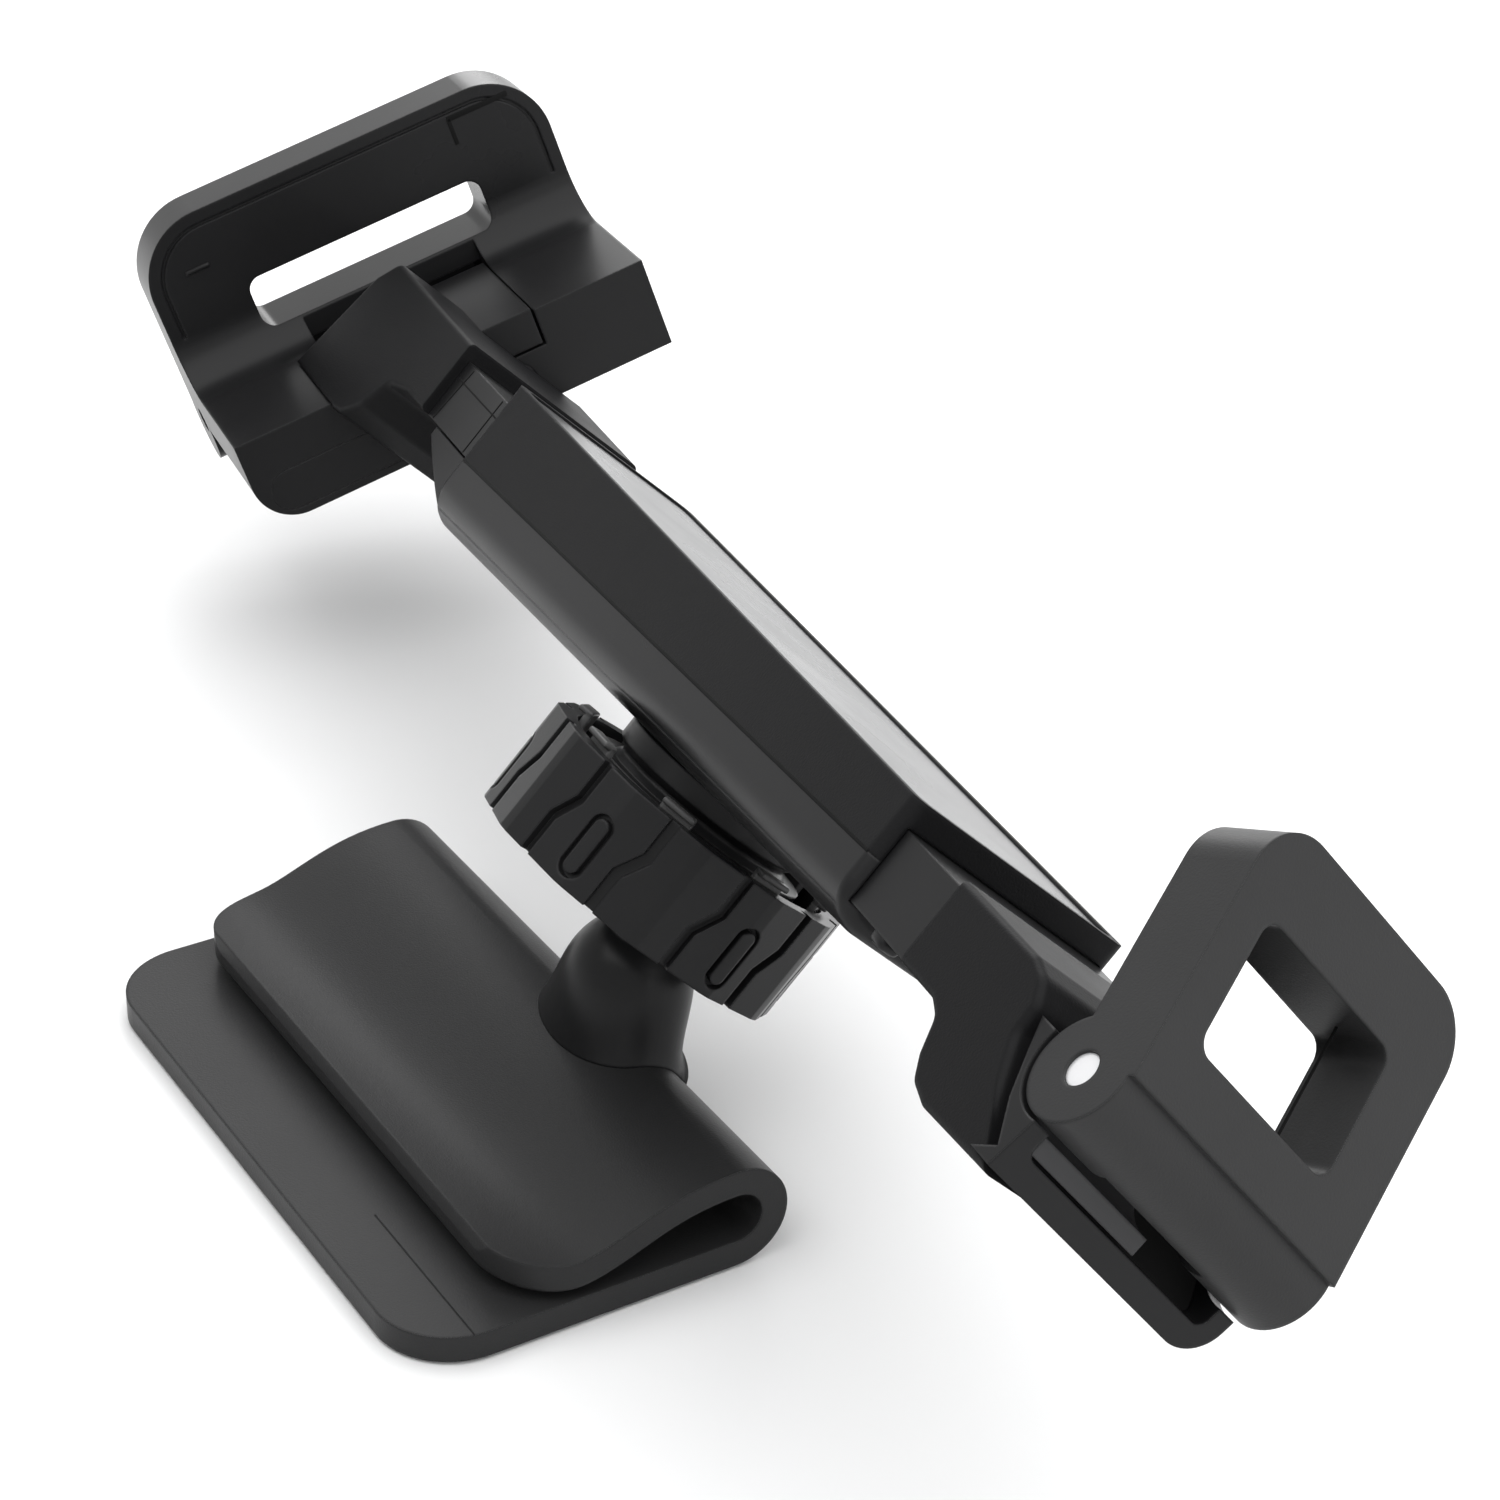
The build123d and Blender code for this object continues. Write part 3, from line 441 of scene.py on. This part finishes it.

# %% [markdown]
# The cover meets the back shell on a sloping line. Between two mouldings there is always a fine
# open seam, and from a distance it is a dark thread. It could be cut into the wall, but a thin
# strip just proud of the wall gives that thread and leaves the imported body whole. The strip's
# near black
# is painted shade: the shade inside the open seam.

# %% Seam between cover and shell
sides = (-1, 1)
wall_side = 14.95
seam_length = 127.5
bar_length = 130.0
seam_climb = 4.9
seam_rise = math.atan2(seam_climb, bar_length)

# This material is near black. It is painted shade for the insides of seams, slots and fine
# lines.
painted_shade = plastic(
    "gap_shadow", (0.002, 0.002, 0.002), (0.004, 0.004, 0.004), (0.8, 0.9),
    fineness=2500, depth=0.002, rounding=0.05,
)

moulded("shell_seam", "body", painted_shade, bar, [
    ((0, side * wall_side, -0.35), (seam_length, 0.12, 0.28), 0.04, -seam_rise)
    for side in sides
])

# %% [markdown]
# The neck of the far arm is built from several mouldings, and their joints show as fine lines
# on its sides. A step line runs along the neck, and two short ones cross it. Strips in painted
# shade stand for them, as on the body: near black, for the shade inside the joints.

# %% Seams on the far neck
neck_side = 13.62
line_width = 0.22
line_proud = 0.1
step_line = (-74.5, 3.55, (17.0, line_proud, line_width), 0)
bracket_line = (-68.2, 1.6, (line_width, line_proud, 8.2), 0)
shoulder_line = (-81.6, 1.6, (line_width, line_proud, 8.2), math.radians(8))

moulded("neck_seams", "arm_far", painted_shade, bar, [
    ((run, side * neck_side, height), size, 0.03, lean)
    for run, height, size, lean in (step_line, bracket_line, shoulder_line)
    for side in sides
])

# %% [markdown]
# On the inner face of the far jaw a slot with a step in it runs to the right corner, where the
# mould's slide closed, and a short raised line marks the other end. Both are shallow, so thin
# blocks on the face are enough. The slot's blocks are near black, painted shade inside the slot;
# the raised line keeps the jaw's smooth black.

# %% Marks on the far jaw
inner_face = -136.98

moulded("jaw_slot", "jaw_far", painted_shade, far_claw, [
    ((inner_face, 21.0, 27.6), (0.14, 9.4, 0.8), 0.06, 0),
    ((inner_face, 16.5, 25.7), (0.14, 0.6, 4.0), 0.06, 0),
])
moulded("jaw_mark", "jaw_far", smooth, far_claw, [
    ((inner_face, -24.2, 22.75), (0.5, 3.6, 0.7), 0.2, 0),
])

# %% [markdown]
# The flat lower plate of the clip carries a fine raised line where two halves of its mould met.
# It has the clip's own finish, because it is the same plastic, and a line drawn in its bump
# alone would vanish at this distance.

# %% Mould line on the clip
plate_top = 3.7

moulded("mould_line", "clip", clip_satin, clip, [
    ((29.3, -14.79, plate_top), (23.4, 0.22, 0.1), 0.04, 0),
])

# %% [markdown]
# Under the near neck two small bumps stop the arm against the shell. They could belong to the
# shell as well, but here they ride on the arm and move out with it.

# %% Stops under the near neck
stop_side = 12.2

moulded("near_stops", "arm_near", smooth, bar, [
    ((71.8, side * stop_side, -2.9), (2.6, 2.6, 1.6), 0.6, 0) for side in sides
])

# %% [markdown]
# The tongue in the near foot's slot is a sheet bent round the hinge pin. It could be bent with
# a modifier, but the shape is a flat strip swept round an axis, so a small rectangle is spun
# about the pin, and the spin leaves a closed solid. Its angles are measured from X towards Z
# of the near claw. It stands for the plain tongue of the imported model.

# %% Tongue bent round the pin
near_pin = (108.5, 0, 0.8)
tongue_inner_radius = 6.2
tongue_outer_radius = 8.1
tongue_left = -12.1
tongue_right = 3.6
tongue_first = math.radians(-83)
tongue_last = math.radians(-148)

# The tongue's grey, lighter than the foot's smooth black, is painted sheen: the light along the
# bent sheet.
tongue_sheen_grey = plastic(
    "tongue_sheen_grey", (0.03, 0.03, 0.031), (0.05, 0.05, 0.052), (0.3, 0.4),
    fineness=1500, depth=0.004, rounding=0.4,
)
form = bmesh.new()
strip = bmesh.ops.create_grid(form, x_segments=1, y_segments=1, size=0.5)["verts"]
thickness = tongue_outer_radius - tongue_inner_radius
bmesh.ops.scale(form, verts=strip, vec=(thickness, tongue_right - tongue_left, 1))
middle_radius = (tongue_inner_radius + tongue_outer_radius) / 2
middle = (middle_radius, (tongue_left + tongue_right) / 2, 0)
bmesh.ops.translate(form, verts=strip, vec=middle)
start = Matrix.Rotation(-tongue_first, 3, "Y")
bmesh.ops.rotate(form, verts=strip, cent=(0, 0, 0), matrix=start)
bmesh.ops.spin(
    form, geom=form.verts[:] + form.edges[:] + form.faces[:], cent=(0, 0, 0),
    axis=(0, 1, 0), angle=tongue_first - tongue_last, steps=48,
    use_merge=False, use_duplicate=False,
)
bmesh.ops.translate(form, verts=form.verts, vec=near_pin)
tongue = finished_piece(form, "tongue_form", "claw_near", tongue_sheen_grey, near_claw)
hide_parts("tongue")

# %% [markdown]
# Behind the tongue the slot is dark, because a plate closes the foot at its back and the slot
# lies in shade. One dull black block does for it, since nothing but its darkness can be seen:
# its near black is painted shade. It leans as the foot's rear does.

# %% Back of the foot's slot
plate_lean = math.radians(48)

moulded("slot_back", "claw_near", painted_shade, near_claw, [
    ((104.5, 1.3, -5.0), (8.2, 28.0, 0.5), 0.1, plate_lean),
])

# %% [markdown]
# Small tabs stand along the ring's upper inner edge and show as light spots between the ring and
# the dish. Their light grey is painted highlight, the light they catch there. Each tab is a
# short
# hook: a post with a nose turned outwards. One is drawn beside the ball's centre, and a loop
# sets eight of them round it.

# %% Tabs inside the ring
ball = Vector(joint["body_turn"]["pos_m"])
tab_count = 8
tab_step = math.radians(360 / tab_count)
first_tab = math.radians(8)
tab_width = 4.2
post = ((16.2, 0, 4.4), (0.9, tab_width, 3.6), 0.25, 0)
nose = ((16.7, 0, 5.9), (1.9, tab_width, 0.7), 0.25, 0)

# Painted highlight: the tabs' light grey stands for the light they catch.
tab_highlight_grey = plastic(
    "tab_highlight_grey", (0.05, 0.05, 0.05), (0.09, 0.09, 0.09), (0.25, 0.35),
    fineness=1800, depth=0.004, rounding=0.2,
)
for number in range(tab_count):
    tab_turn = Matrix.Rotation(tab_step * number + first_tab, 4, "Z")
    tab_frame = Matrix.Translation(ball) @ bar.to_3x3().to_4x4() @ tab_turn
    moulded("ring_tab_%d" % number, "ring", tab_highlight_grey, tab_frame, [post, nose])

# %% [markdown]
# The near jaw's window was closed by two halves of the mould, so a fine parting line runs round
# the middle of its inner walls. Four thin strips lie on the four walls, near black: painted
# shade along the fine line. The jaw leans outwards from its pin, so a small helper turns a place
# measured along the jaw into one on the claw.

# %% Parting line in the near window
jaw_lean = math.radians(26.3)
jaw_outer = 6.2
jaw_thickness = 8.2
wall_middle = jaw_outer - jaw_thickness / 2
window_rise = 12.9
window_half_height = 10.16
parting_width = 0.35
side_strip = (parting_width, line_proud, 16.6)
end_strip = (parting_width, 9.8, line_proud)
window_walls = [
    (-6.26, window_rise, side_strip),
    (7.26, window_rise, side_strip),
    (0.5, window_rise - window_half_height, end_strip),
    (0.5, window_rise + window_half_height, end_strip),
]


def on_the_jaw(out, aside, rise):
    """A point by its distance out of the jaw, across it and up along it, from the pin."""
    return (
        near_pin[0] + out * math.cos(jaw_lean) - rise * math.sin(jaw_lean), aside,
        near_pin[2] + out * math.sin(jaw_lean) + rise * math.cos(jaw_lean),
    )


moulded("near_window_line", "jaw_near", painted_shade, near_claw, [
    (on_the_jaw(wall_middle, aside, rise), size, 0.03, -jaw_lean)
    for aside, rise, size in window_walls
])
